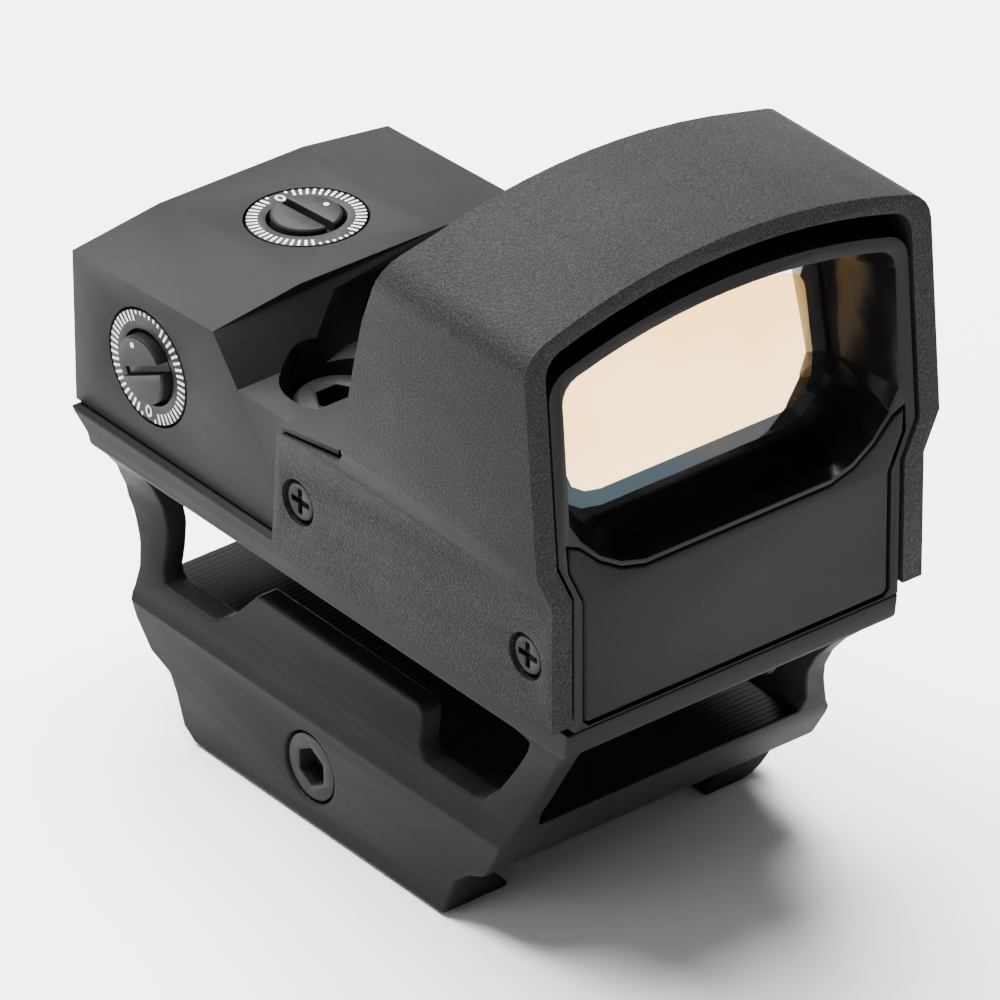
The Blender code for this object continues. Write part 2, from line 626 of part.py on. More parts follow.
def build_elevation(metal, steel, rubber, spring_steel):
    roof_z = roof_height(ELEVATION_Y)
    slope = math.atan(ROOF_RISE)
    normal = Vector((0.0, math.sin(slope), math.cos(slope)))
    centre = Vector((0.0, ELEVATION_Y, roof_z))
    dial = ring("elevation_dial_ring", DIAL_INNER_R, DIAL_R, centre - normal * 1.0, centre, 40)
    finish(dial, metal)
    top = roof_z + ELEVATION_PROUD
    profile = [(0.0, 0.0), (SCREW_R, 0.0), (SCREW_R, 6.8), (BOSS_R, 6.8), (BOSS_R, top - 26.3 - 0.15)]
    profile += [(BOSS_R - 0.15, top - 26.3), (0.0, top - 26.3)]
    screw = turned("elevation_screw", profile, (0, ELEVATION_Y, 26.3), (0, 0, 1))
    half_slot = SLOT_WIDTH / 2.0
    slot_low = (-half_slot, ELEVATION_Y - SLOT_HALF_LENGTH, top - SLOT_DEPTH)
    slot_high = (half_slot, ELEVATION_Y + SLOT_HALF_LENGTH, top + 1.0)
    slot = box("elevation_slot_cutter", slot_low, slot_high)
    swivel(slot, centre, "Z", ELEVATION_SLOT_TURN)
    cut(screw, slot)
    set_origin(screw, (0, ELEVATION_Y, 26.3))
    finish(screw, steel)
    seal = round_ring("elevation_o_ring", 2.1, 0.42, (0, ELEVATION_Y, 32.45), (0, 0, 1))
    finish(seal, rubber)
    clip_low = (0.0, ELEVATION_Y, 31.3)
    clip_high = (0.0, ELEVATION_Y, 31.7)
    clip = ring("elevation_clip", CLIP_INNER_R, CLIP_OUTER_R + 0.6, clip_low, clip_high, 24)
    finish(clip, spring_steel)
    slider = box("elevation_slider", (-4.0, 15.0, 24.6), (4.0, 24.7, 29.9))
    cut(slider, rod("slider_thread_cutter", SCREW_R + 0.2, (0, ELEVATION_Y, 24), (0, ELEVATION_Y, 31), 24))
    finish(slider, metal)
    spring = coil("elevation_spring", 2.2, 0.25, 3, (0, ELEVATION_Y, 22.1), (0, ELEVATION_Y, 24.3))
    finish(spring, spring_steel)


def windage_axis(x):
    """A point on the windage screw's axis."""
    return (x, WINDAGE_Y, WINDAGE_Z)


def build_windage(metal, steel, rubber, spring_steel):
    face = -HOUSING_HALF_WIDTH
    dial = ring("windage_dial_ring", DIAL_INNER_R, DIAL_R, windage_axis(face), windage_axis(face + 0.7), 40)
    finish(dial, metal)
    start = face - BOSS_PROUD
    profile = [(0.0, 0.0), (BOSS_R - 0.15, 0.0), (BOSS_R, 0.15), (BOSS_R, 1.3), (SCREW_R, 1.3)]
    profile += [(SCREW_R, 9.7), (0.0, 9.7)]
    screw = turned("windage_screw", profile, windage_axis(start), (1, 0, 0))
    half_slot = SLOT_WIDTH / 2.0
    slot_low = (start - 1.0, WINDAGE_Y - SLOT_HALF_LENGTH, WINDAGE_Z - half_slot)
    slot_high = (start + SLOT_DEPTH, WINDAGE_Y + SLOT_HALF_LENGTH, WINDAGE_Z + half_slot)
    slot = box("windage_slot_cutter", slot_low, slot_high)
    swivel(slot, windage_axis(start), "X", WINDAGE_SLOT_TURN)
    cut(screw, slot)
    set_origin(screw, windage_axis(start))
    finish(screw, steel)
    seal = round_ring("windage_o_ring", 1.7, 0.3, windage_axis(-12.1), (1, 0, 0))
    finish(seal, rubber)
    clip = ring("windage_clip", CLIP_INNER_R, CLIP_OUTER_R, windage_axis(-11.2), windage_axis(-10.8), 24)
    finish(clip, spring_steel)


def round_ring(name, radius, wire, centre, axis, sides=8):
    profile = []
    for side in range(sides):
        spin = 2.0 * math.pi * side / sides
        profile.append((radius + wire * math.cos(spin), wire * math.sin(spin)))
    return turned(name, profile, centre, axis, 24)


def build_emitter(metal, clear, spring_steel):
    holder = box("emitter_holder", (-7.0, 12.9, 24.4), (2.4, 14.7, EMITTER_Z + 0.8))
    arm = box("holder_arm_guide", (-7.0, 14.0, 24.4), (-5.0, 21.2, 30.0))
    fuse(holder, arm)
    slot_low = (-8.0, WINDAGE_Y - 1.5, WINDAGE_Z - 2.1)
    slot_high = (-4.4, WINDAGE_Y + 1.5, WINDAGE_Z + 2.1)
    slot = box("holder_slot_cutter", slot_low, slot_high)
    bore = rod("emitter_bore_cutter", EMITTER_R + 0.2, (0, 12.0, EMITTER_Z), (0, 14.1, EMITTER_Z), 20)
    cut(holder, slot, bore)
    finish(holder, metal)
    dome = [(0.0, 0.0), (EMITTER_R, 0.0), (EMITTER_R, 0.9), (0.4, 1.3), (0.2, 1.45), (0.0, 1.5)]
    emitter = turned("led_emitter", dome, (0, 13.9, EMITTER_Z), (0, -1, 0), 20)
    finish(emitter, clear)
    spring = coil("windage_spring", 1.1, 0.22, 6, (2.7, 13.8, 30.2), (11.2, 13.8, 30.2))
    finish(spring, spring_steel)


# ----------------------------------------------------------- electronics

def build_electronics(board, metal, plastic, rubber):
    main = box("circuit_board", (-10.8, -20.0, 27.3), (10.8, 0.0, 28.1))
    fuse(main, box("board_tongue_guide", (-2.2, -2.0, 27.3), (2.2, 11.4, 28.1)))
    finish(main, board)
    cell_profile = [(0.0, 0.0), (8.6, 0.0), (8.8, 0.35), (9.75, 0.5), (BATTERY_R, 0.75)]
    cell_profile += [(BATTERY_R, 3.05), (9.8, 3.2), (0.0, 3.2)]
    cell = turned("coin_cell", cell_profile, (0, BATTERY_Y, 25.4), (0, 0, -1), 40)
    finish(cell, metal)
    lower = box("battery_contact_positive", (10.35, -14.0, 22.6), (10.6, -7.0, 27.0))
    fuse(lower, box("positive_foot_guide", (9.0, -12.0, 26.75), (10.6, -9.0, 27.0)))
    finish(lower, metal)
    upper = box("battery_contact_negative", (-2.5, -14.0, 25.7), (2.5, -6.0, 25.9))
    fuse(upper, box("negative_foot_guide", (-2.5, -6.3, 25.7), (2.5, -6.0, 27.0)))
    finish(upper, metal)
    side_board = box("switch_board", (8.0, 14.8, 22.8), (8.7, 24.6, 28.8))
    finish(side_board, board)
    for number, (y, z) in enumerate(BUTTON_PLACES, 1):
        word = "up" if number == 1 else "down"
        switch = box(f"tact_switch_{word}", (9.0, y - 1.6, z - 1.6), (9.7, y + 1.6, z + 1.6))
        fuse(switch, rod(f"switch_dome_{word}_guide", 0.9, (9.5, y, z), (10.0, y, z), 16))
        finish(switch, plastic)
        profile = [(0.0, 0.0), (1.95, 0.0), (2.1, 0.15), (2.1, 2.8), (2.55, 2.8), (2.55, 3.5), (0.0, 3.5)]
        button = turned(f"button_{word}", profile, (14.1, y, z), (-1, 0, 0), 28)
        set_origin(button, (14.1, y, z))
        finish(button, rubber)


def main():
    clear_scene()
    anodised = make_material("anodised_black", (0.055, 0.057, 0.058), 0.5, 0.3)
    coated = make_material("textured_coat", (0.06, 0.061, 0.061), 0.65, 0.2)
    satin = make_material("satin_dial", (0.12, 0.12, 0.12), 0.4, 0.6)
    dark_steel = make_material("dark_steel", (0.16, 0.16, 0.16), 0.4, 0.9)
    bright = make_material("bright_steel", (0.6, 0.6, 0.6), 0.3, 1.0)
    glass = make_material("coated_glass", (0.95, 0.85, 0.7), 0.05, 0.0)
    rubber = make_material("black_rubber", (0.03, 0.03, 0.03), 0.7, 0.0)
    board = make_material("green_board", (0.02, 0.14, 0.06), 0.5, 0.0)
    plastic = make_material("black_plastic", (0.03, 0.03, 0.03), 0.5, 0.0)
    clear = make_material("red_clear", (0.7, 0.05, 0.04), 0.1, 0.0)
    build_riser(anodised)
    build_clamp(anodised, dark_steel)
    build_housing(anodised)
    build_cover_plate(anodised)
    build_bottom_cover(anodised)
    build_hood(coated)
    build_hood_screws(dark_steel)
    build_mount_screws(dark_steel)
    build_lens(glass, rubber)
    build_elevation(satin, dark_steel, rubber, bright)
    build_windage(satin, dark_steel, rubber, bright)
    build_emitter(satin, clear, bright)
    build_electronics(board, bright, plastic, rubber)


main()
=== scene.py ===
"""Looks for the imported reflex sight: finishes, fine detail, studio light and the camera."""
import math

import bmesh
import bpy
from mathutils import Matrix, Vector


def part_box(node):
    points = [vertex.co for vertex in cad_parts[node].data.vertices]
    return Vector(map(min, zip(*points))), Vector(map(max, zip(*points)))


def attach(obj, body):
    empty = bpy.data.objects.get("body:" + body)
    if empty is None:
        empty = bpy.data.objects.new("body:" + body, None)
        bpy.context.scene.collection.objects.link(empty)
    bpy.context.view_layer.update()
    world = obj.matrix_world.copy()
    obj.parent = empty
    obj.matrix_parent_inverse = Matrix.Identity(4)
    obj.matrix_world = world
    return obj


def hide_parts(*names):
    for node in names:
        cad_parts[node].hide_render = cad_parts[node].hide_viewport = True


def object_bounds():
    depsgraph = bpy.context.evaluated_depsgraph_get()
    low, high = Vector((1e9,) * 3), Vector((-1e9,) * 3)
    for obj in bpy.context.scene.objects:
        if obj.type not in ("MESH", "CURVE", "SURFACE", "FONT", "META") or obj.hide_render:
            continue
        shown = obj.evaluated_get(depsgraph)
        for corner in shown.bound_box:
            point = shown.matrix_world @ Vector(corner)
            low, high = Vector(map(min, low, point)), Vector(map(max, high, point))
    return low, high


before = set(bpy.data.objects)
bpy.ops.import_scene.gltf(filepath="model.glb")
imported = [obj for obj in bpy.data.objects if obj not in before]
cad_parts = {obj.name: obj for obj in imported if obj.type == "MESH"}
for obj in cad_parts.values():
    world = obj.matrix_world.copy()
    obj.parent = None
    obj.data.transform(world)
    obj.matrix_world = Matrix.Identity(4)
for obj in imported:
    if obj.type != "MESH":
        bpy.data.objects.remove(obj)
CAD_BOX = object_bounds()

MM = 0.001

# Camera: a long lens from the front right, looking down
CAMERA_AZIMUTH = math.radians(-38.45)
CAMERA_ELEVATION = math.radians(31.43)
CAMERA_ROLL = math.radians(-0.24)
CAMERA_DISTANCE = 0.7687
CAMERA_LENS = 411.72
CAMERA_TARGET = Vector((0.0, -0.0021, 0.0215))


# ------------------------------------------------------------ node helpers

class Graph:
    """A small builder for one material's nodes."""

    def __init__(self, name):
        self.material = bpy.data.materials.new(name)
        self.material.use_nodes = True
        self.tree = self.material.node_tree
        self.shader = self.tree.nodes["Principled BSDF"]
        self.place = self.tree.nodes.new("ShaderNodeTexCoord").outputs["Object"]

    def add(self, kind, **settings):
        node = self.tree.nodes.new(kind)
        for key, value in settings.items():
            setattr(node, key, value)
        return node

    def link(self, source, target):
        self.tree.links.new(source, target)

    def noise(self, size_mm, detail=4.0, rough=0.55, stretch=(1.0, 1.0, 1.0)):
        """Noise whose cells are about size_mm across."""
        mapping = self.add("ShaderNodeMapping")
        mapping.inputs["Scale"].default_value = stretch
        self.link(self.place, mapping.inputs["Vector"])
        node = self.add("ShaderNodeTexNoise")
        node.inputs["Scale"].default_value = 1.0 / (size_mm * MM)
        node.inputs["Detail"].default_value = detail
        node.inputs["Roughness"].default_value = rough
        self.link(mapping.outputs["Vector"], node.inputs["Vector"])
        return node.outputs["Fac"]

    def grains(self, size_mm):
        """Round cells for a sprayed or blasted grain."""
        node = self.add("ShaderNodeTexVoronoi", feature="SMOOTH_F1")
        node.inputs["Scale"].default_value = 1.0 / (size_mm * MM)
        self.link(self.place, node.inputs["Vector"])
        return node.outputs["Distance"]

    def spread(self, value, low, high, out_low, out_high):
        """Map low..high of a value to out_low..out_high."""
        node = self.add("ShaderNodeMapRange")
        node.inputs["From Min"].default_value = low
        node.inputs["From Max"].default_value = high
        node.inputs["To Min"].default_value = out_low
        node.inputs["To Max"].default_value = out_high
        self.link(value, node.inputs["Value"])
        return node.outputs["Result"]

    def math(self, operation, first, second=None):
        node = self.add("ShaderNodeMath", operation=operation)
        for slot, value in enumerate((first, second)):
            if value is None:
                continue
            if isinstance(value, (int, float)):
                node.inputs[slot].default_value = value
            else:
                self.link(value, node.inputs[slot])
        return node.outputs["Value"]

    def ramp(self, value, *stops):
        node = self.add("ShaderNodeValToRGB")
        ramp = node.color_ramp
        while len(ramp.elements) < len(stops):
            ramp.elements.new(0.5)
        for element, (where, colour) in zip(ramp.elements, stops):
            element.position = where
            element.color = (*colour, 1.0)
        self.link(value, node.inputs["Fac"])
        return node.outputs["Color"]

    def bump(self, height, depth_mm):
        node = self.add("ShaderNodeBump")
        node.inputs["Strength"].default_value = 1.0
        node.inputs["Distance"].default_value = depth_mm * MM
        self.link(height, node.inputs["Height"])
        return node.outputs["Normal"]

    def finish(self, colour=None, roughness=None, normal=None, **constants):
        if colour is not None:
            self.link(colour, self.shader.inputs["Base Color"])
        if roughness is not None:
            self.link(roughness, self.shader.inputs["Roughness"])
        if normal is not None:
            self.link(normal, self.shader.inputs["Normal"])
        for key, value in constants.items():
            self.shader.inputs[key.replace("_", " ")].default_value = value
        return self.material


def tone(level, tint=(1.0, 1.0, 1.0)):
    return tuple(level * t for t in tint)


COOL = (0.985, 1.0, 1.0)

# How much the fine grain and the clouds weigh in blasted metal's colour
GRAIN_SHARE = 0.12
CLOUD_SHARE = 0.08


def grainy(name, level, rough, grain_mm, depth_mm, shine):
    """Dark blasted and anodised metal: a fine even grain with faint clouds and rubbed spots."""
    g = Graph(name)
    fine = g.noise(grain_mm, 3.0, 0.6)
    clouds = g.noise(6.0, 5.0, 0.6)
    mixed = g.math("ADD", g.math("MULTIPLY", fine, GRAIN_SHARE), g.math("MULTIPLY", clouds, CLOUD_SHARE))
    middle = 0.5 * (GRAIN_SHARE + CLOUD_SHARE)
    colour = g.ramp(
        g.spread(mixed, middle - 0.5 * GRAIN_SHARE, middle + 0.5 * GRAIN_SHARE, 0.0, 1.0),
        (0.0, tone(level * 0.62, COOL)),
        (0.55, tone(level, COOL)),
        (1.0, tone(level * 1.6, COOL)),
    )
    roughness = g.spread(clouds, 0.25, 0.75, rough - 0.05, rough + 0.05)
    return g.finish(colour, roughness, g.bump(fine, depth_mm), Specular_IOR_Level=shine)


def sand_coat(name, level, rough):
    """Powder coat with a sandy texture: round bumps 0.22 mm across and a bright speckle."""
    g = Graph(name)
    bumps = g.grains(0.22)
    fine = g.noise(0.12, 3.0, 0.7)
    height = g.math("ADD", g.math("MULTIPLY", bumps, -0.8), fine)
    speckle = g.spread(fine, 0.38, 0.68, 0.0, 1.0)
    clouds = g.noise(8.0, 4.0, 0.6)
    colour = g.ramp(
        speckle,
        (0.0, tone(level * 0.4, COOL)),
        (0.5, tone(level, COOL)),
        (1.0, tone(level * 2.6, COOL)),
    )
    roughness = g.spread(clouds, 0.25, 0.75, rough - 0.06, rough + 0.06)
    return g.finish(colour, roughness, g.bump(height, 0.06), Specular_IOR_Level=0.07)


def satin_metal(name, level, rough, metallic, shine=0.5):
    """Turned or bead-blasted metal with faint lines and a few rubbed places."""
    g = Graph(name)
    lines = g.noise(0.12, 3.0, 0.6)
    clouds = g.noise(1.6, 4.0, 0.6)
    colour = g.ramp(clouds, (0.25, tone(level * 0.75)), (0.6, tone(level)), (0.85, tone(level * 1.35)))
    roughness = g.spread(lines, 0.3, 0.7, rough - 0.07, rough + 0.07)
    return g.finish(colour, roughness, g.bump(lines, 0.006), Metallic=metallic, Specular_IOR_Level=shine)


def rubber_look(name, level, rough):
    g = Graph(name)
    fine = g.noise(0.2, 3.0, 0.6)
    clouds = g.noise(2.0, 3.0, 0.6)
    colour = g.ramp(clouds, (0.3, tone(level * 0.8)), (0.7, tone(level * 1.2)))
    return g.finish(colour, g.spread(fine, 0.3, 0.7, rough - 0.06, rough + 0.06), g.bump(fine, 0.01),
                    Specular_IOR_Level=0.15)


def gloss_black(name):
    """Lacquered inside of the window's mouth, with very slight waves."""
    g = Graph(name)
    waves = g.noise(2.5, 2.0, 0.5)
    dust = g.noise(0.15, 2.0, 0.5)
    colour = g.ramp(waves, (0.3, (0.003, 0.003, 0.0035)), (0.8, (0.006, 0.0055, 0.0055)))
    roughness = g.spread(dust, 0.35, 0.8, 0.14, 0.24)
    return g.finish(colour, roughness, g.bump(waves, 0.05), Specular_IOR_Level=0.12)


MILLING_PITCH = 0.5 * MM


def milled(name, level, rough):
    """Blasted metal whose upward floor keeps the cutter's fine parallel lines."""
    g = Graph(name)
    split = g.add("ShaderNodeSeparateXYZ")
    g.link(g.place, split.inputs["Vector"])
    ridge = g.math("SINE", g.math("MULTIPLY", split.outputs["Y"], 2.0 * math.pi / MILLING_PITCH))
    fine = g.noise(0.12, 3.0, 0.6)
    height = g.math("ADD", g.math("MULTIPLY", ridge, 0.6), g.math("MULTIPLY", fine, 0.5))
    colour = g.ramp(g.spread(ridge, -1.0, 1.0, 0.0, 1.0), (0.0, tone(level * 0.6)), (1.0, tone(level * 1.35)))
    return g.finish(colour, g.spread(fine, 0.3, 0.7, rough - 0.05, rough + 0.05), g.bump(height, 0.02),
                    Specular_IOR_Level=0.06)


def paint_white(name):
    g = Graph(name)
    patches = g.noise(0.25, 3.0, 0.6)
    colour = g.ramp(patches, (0.3, (0.42, 0.4, 0.36)), (0.6, (0.74, 0.71, 0.64)))
    return g.finish(colour, g.spread(patches, 0.3, 0.7, 0.5, 0.65), g.bump(patches, 0.004))


def green_board(name):
    g = Graph(name)
    traces = g.noise(1.2, 2.0, 0.4, (1.0, 3.0, 1.0))
    colour = g.ramp(traces, (0.46, (0.01, 0.09, 0.04)), (0.5, (0.02, 0.16, 0.07)), (0.6, (0.015, 0.12, 0.05)))
    return g.finish(colour, g.spread(traces, 0.3, 0.7, 0.3, 0.45), g.bump(traces, 0.02))


def clear_red(name):
    g = Graph(name)
    haze = g.noise(0.6, 2.0, 0.5)
    colour = g.ramp(haze, (0.3, (0.5, 0.02, 0.015)), (0.8, (0.8, 0.08, 0.05)))
    return g.finish(colour, g.spread(haze, 0.3, 0.7, 0.04, 0.1), Transmission_Weight=0.5, IOR=1.5)


def coated_front(name, tint, edge_tint, mirror):
    """The lens's dichroic front: a warm mirror from in front and a clear pane from behind."""
    g = Graph(name)
    flow = g.noise(9.0, 2.0, 0.4)
    colour = g.ramp(flow, (0.35, tint), (0.65, edge_tint))
    behind = g.add("ShaderNodeNewGeometry").outputs["Backfacing"]
    alpha = g.spread(behind, 0.0, 1.0, mirror, 0.18)
    g.link(alpha, g.shader.inputs["Alpha"])
    return g.finish(colour, g.spread(flow, 0.3, 0.7, 0.015, 0.03), Metallic=1.0)


def clear_pane(name):
    g = Graph(name)
    haze = g.noise(4.0, 2.0, 0.5)
    colour = g.ramp(haze, (0.3, (0.55, 0.66, 0.68)), (0.7, (0.62, 0.7, 0.7)))
    g.shader.inputs["Alpha"].default_value = 0.12
    return g.finish(colour, g.spread(haze, 0.3, 0.7, 0.02, 0.05), IOR=1.5)


# ------------------------------------------------------------- CAD finish

def dress(node, material, bevel_mm=0.0, clamp=True):
    """Give a CAD node its finish; modifiers join its triangles into faces and round its edges."""
    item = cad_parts[node]
    item.data.materials.clear()
    item.data.materials.append(material)
    for polygon in item.data.polygons:
        polygon.material_index = 0
        polygon.use_smooth = True
    weld = item.modifiers.new("weld", "WELD")
    weld.merge_threshold = 0.00002
    flat = item.modifiers.new("flat_faces", "DECIMATE")
    flat.decimate_type = "DISSOLVE"
    flat.angle_limit = math.radians(0.4)
    flat.delimit = {"MATERIAL"}
    if bevel_mm:
        bevel = item.modifiers.new("round_edges", "BEVEL")
        bevel.width = bevel_mm * MM
        bevel.segments = 3
        bevel.limit_method = "ANGLE"
        bevel.angle_limit = math.radians(26.0)
        bevel.use_clamp_overlap = clamp
        bevel.miter_outer = "MITER_ARC"
        bevel.harden_normals = True
    else:
        shade = item.modifiers.new("weights", "WEIGHTED_NORMAL")
        shade.keep_sharp = True
    return item


def paint_faces(node, material, test):
    """Give the faces that pass a test another finish. test gets a centre and a normal, in mm."""
    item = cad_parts[node]
    item.data.materials.append(material)
    slot = len(item.data.materials) - 1
    for polygon in item.data.polygons:
        if test(Vector(polygon.center) / MM, Vector(polygon.normal)):
            polygon.material_index = slot


def new_piece(name, bm, material, body):
    mesh = bpy.data.meshes.new(name)
    bmesh.ops.recalc_face_normals(bm, faces=bm.faces)
    bm.to_mesh(mesh)
    bm.free()
    mesh.materials.append(material)
    item = bpy.data.objects.new(name, mesh)
    bpy.context.scene.collection.objects.link(item)
    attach(item, body)
    return item


# ------------------------------------------------------------------ dials

TICK_COUNT = 50
TICK_OUTER = 4.12 * MM
TICK_INNER = 3.36 * MM
TICK_WIDTH = 0.18 * MM
PAINT_HEIGHT = 0.025 * MM
ZERO_R = 3.42 * MM
SHORT_TICK = 0.26 * MM
DOT_R = 0.2
ELEVATION_ZERO = math.radians(84.0)
WINDAGE_ZERO = math.radians(180.0)
ELEVATION_DOT = (1.7, 0.0)
WINDAGE_DOT = (1.65, 0.79)
ROOF_RISE = 0.05


def slab(bm, place, points):
    """A thin raised patch; points are (x, y) in the dial's plane."""
    top = [bm.verts.new(place @ Vector((x, y, PAINT_HEIGHT))) for x, y in points]
    low = [bm.verts.new(place @ Vector((x, y, -PAINT_HEIGHT))) for x, y in points]
    bm.faces.new(top)
    bm.faces.new(list(reversed(low)))
    for i in range(len(points)):
        j = (i + 1) % len(points)
        bm.faces.new((top[i], low[i], low[j], top[j]))


def tick(bm, place, angle, inner, outer, width):
    along = Vector((math.cos(angle), math.sin(angle)))
    side = Vector((-along.y, along.x)) * width / 2.0
    corners = [along * inner + side, along * inner - side, along * outer - side, along * outer + side]
    slab(bm, place, [(c.x, c.y) for c in corners])


def zero_mark(bm, place, angle):
    """A narrow 0 that stands on the dial with its foot towards the middle."""
    steps = 16
    centre = Vector((math.cos(angle), math.sin(angle))) * ZERO_R
    up = centre.normalized()
    right = Vector((up.y, -up.x))
    loops = []
    for wide, tall in ((0.34, 0.46), (0.19, 0.31)):
        loop = []
        for step in range(steps):
            turn = 2.0 * math.pi * step / steps
            p = centre + (right * wide * math.cos(turn) + up * tall * math.sin(turn)) * MM
            loop.append(p)
        loops.append(loop)
    for step in range(steps):
        after = (step + 1) % steps
        corners = [loops[0][step], loops[0][after], loops[1][after], loops[1][step]]
        slab(bm, place, [(c.x, c.y) for c in corners])


def dial_marks(name, place, zero_angle, material):
    """Ticks all round the dial, a 0, and short marks where the scale turns back."""
    bm = bmesh.new()
    step = 2.0 * math.pi / TICK_COUNT
    for number in range(TICK_COUNT):
        angle = zero_angle + (number + 0.5) * step
        from_zero = min(number + 0.5, TICK_COUNT - number - 0.5)
        opposite = TICK_COUNT / 2.0 - from_zero
        if from_zero < 1.0:
            continue
        if from_zero < 2.0 or opposite < 3.0:
            tick(bm, place, angle, TICK_OUTER - SHORT_TICK, TICK_OUTER, TICK_WIDTH)
        else:
            tick(bm, place, angle, TICK_INNER, TICK_OUTER, TICK_WIDTH)
    zero_mark(bm, place, zero_angle)
    return new_piece(name, bm, material, "sight_body")


def dot_mark(name, place, where_mm, material, body):
    """A painted dot on the adjuster's face."""
    bm = bmesh.new()
    steps = 20
    points = []
    for step in range(steps):
        turn = 2.0 * math.pi * step / steps
        x = where_mm[0] + DOT_R * math.cos(turn)
        y = where_mm[1] + DOT_R * math.sin(turn)
        points.append((x * MM, y * MM))
    slab(bm, place, points)
    return new_piece(name, bm, material, body)


def dial_places():
    """Frames at the middle of each dial's face, and of each adjuster's face."""
    low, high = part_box("elevation_dial_ring")
    mid = (low + high) / 2.0
    slope = math.atan(ROOF_RISE)
    length = high.y - low.y
    face_z = high.z - 0.5 * length * math.tan(slope)
    tilt = Matrix.Rotation(-slope, 4, "X")
    top_dial = Matrix.Translation((mid.x, mid.y, face_z)) @ tilt
    low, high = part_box("elevation_screw")
    top_boss = Matrix.Translation((mid.x, mid.y, high.z))
    turn = Matrix.Rotation(-math.pi / 2.0, 4, "Y")
    low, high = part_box("windage_dial_ring")
    mid = (low + high) / 2.0
    side_dial = Matrix.Translation((low.x, mid.y, mid.z)) @ turn
    low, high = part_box("windage_screw")
    side_boss = Matrix.Translation((low.x, mid.y, mid.z)) @ turn
    return top_dial, top_boss, side_dial, side_boss


# ------------------------------------------------------------------- lens

# The coated field: its inset, and how much further it stops short of the top and the left edge, where the
# ring around it carries a painted highlight
COATED_INSET = 1.15 * MM
HIGHLIGHT_BAND_TOP = 0.9 * MM
HIGHLIGHT_BAND_SIDE = 0.35 * MM
LENS_TILT = math.radians(10.0)
ARCH_FOOT_Z = 43.0 * MM
LEFT_EDGE_X = -10.0 * MM


def build_lens(coating, highlight_border, shaded_edge, pane):
    """The lens again: a coated field, and around it a ring with a painted highlight above and left and
    painted shade below and right.
    """
    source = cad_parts["objective_lens"]
    bm = bmesh.new()
    bm.from_mesh(source.data)
    bmesh.ops.remove_doubles(bm, verts=bm.verts, dist=0.00002)
    bmesh.ops.dissolve_limit(bm, angle_limit=math.radians(0.5), verts=bm.verts, edges=bm.edges)
    front = min(bm.faces, key=lambda f: f.normal.y)
    ringed = bmesh.ops.inset_individual(bm, faces=[front], thickness=COATED_INSET, use_even_offset=True)
    for vert in front.verts:
        if vert.co.z > ARCH_FOOT_Z:
            vert.co.z -= HIGHLIGHT_BAND_TOP
            vert.co.y -= HIGHLIGHT_BAND_TOP * math.tan(LENS_TILT)
        if vert.co.x < LEFT_EDGE_X:
            vert.co.x += HIGHLIGHT_BAND_SIDE
    for face in bm.faces:
        face.material_index = 3
        face.smooth = False
    front.material_index = 0
    # Painted light on the ring: faces below and right get painted shade (a near-black mirror), the others a
    # painted highlight (a white mirror)
    for face in ringed["faces"]:
        centre = face.calc_center_median() / MM
        shaded_side = centre.z < 40.5 or centre.x > 11.0
        face.material_index = 2 if shaded_side and centre.x > -11.0 else 1
    mesh = bpy.data.meshes.new("lens_glass")
    bm.to_mesh(mesh)
    bm.free()
    for material in (coating, highlight_border, shaded_edge, pane):
        mesh.materials.append(material)
    item = bpy.data.objects.new("lens_glass", mesh)
    bpy.context.scene.collection.objects.link(item)
    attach(item, "sight_body")
    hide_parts("objective_lens")
    return item


# ----------------------------------------------------------------- stage

FLOOR_HALF = 4.0
FLOOR_GAP = 0.0002


def build_floor():
    bm = bmesh.new()
    z = CAD_BOX[0][2] - FLOOR_GAP
    for x, y in ((-1, -1), (1, -1), (1, 1), (-1, 1)):
        bm.verts.new((x * FLOOR_HALF, y * FLOOR_HALF, z))
    bm.verts.ensure_lookup_table()
    bm.faces.new(bm.verts)
    mesh = bpy.data.meshes.new("floor")
    bm.to_mesh(mesh)
    bm.free()
    g = Graph("floor_paper")
    fibre = g.noise(30.0, 3.0, 0.5)
    colour = g.ramp(fibre, (0.3, (0.93, 0.93, 0.93)), (0.7, (0.95, 0.95, 0.95)))
    mesh.materials.append(g.finish(colour, g.spread(fibre, 0.3, 0.7, 0.8, 0.9), Specular_IOR_Level=0.1))
    floor = bpy.data.objects.new("floor", mesh)
    bpy.context.scene.collection.objects.link(floor)


LIGHT_AIM = Vector((0.0, 0.0, 0.02))


def area_light(name, place, size, power):
    data = bpy.data.lights.new(name, "AREA")
    data.shape = "RECTANGLE"
    data.size = size[0]
    data.size_y = size[1]
    data.energy = power
    lamp = bpy.data.objects.new(name, data)
    lamp.location = place
    lamp.rotation_euler = (LIGHT_AIM - Vector(place)).to_track_quat("-Z", "Y").to_euler()
    bpy.context.scene.collection.objects.link(lamp)


def build_studio():
    world = bpy.data.worlds.new("studio")
    world.use_nodes = True
    background = world.node_tree.nodes["Background"]
    background.inputs["Color"].default_value = (1.0, 1.0, 1.0, 1.0)
    background.inputs["Strength"].default_value = 0.23
    bpy.context.scene.world = world
    area_light("overhead", (0.06, 0.42, 0.84), (1.0, 0.9), 74.0)
    area_light("left_card", (-0.9, 0.15, 0.35), (0.6, 0.5), 2.5)


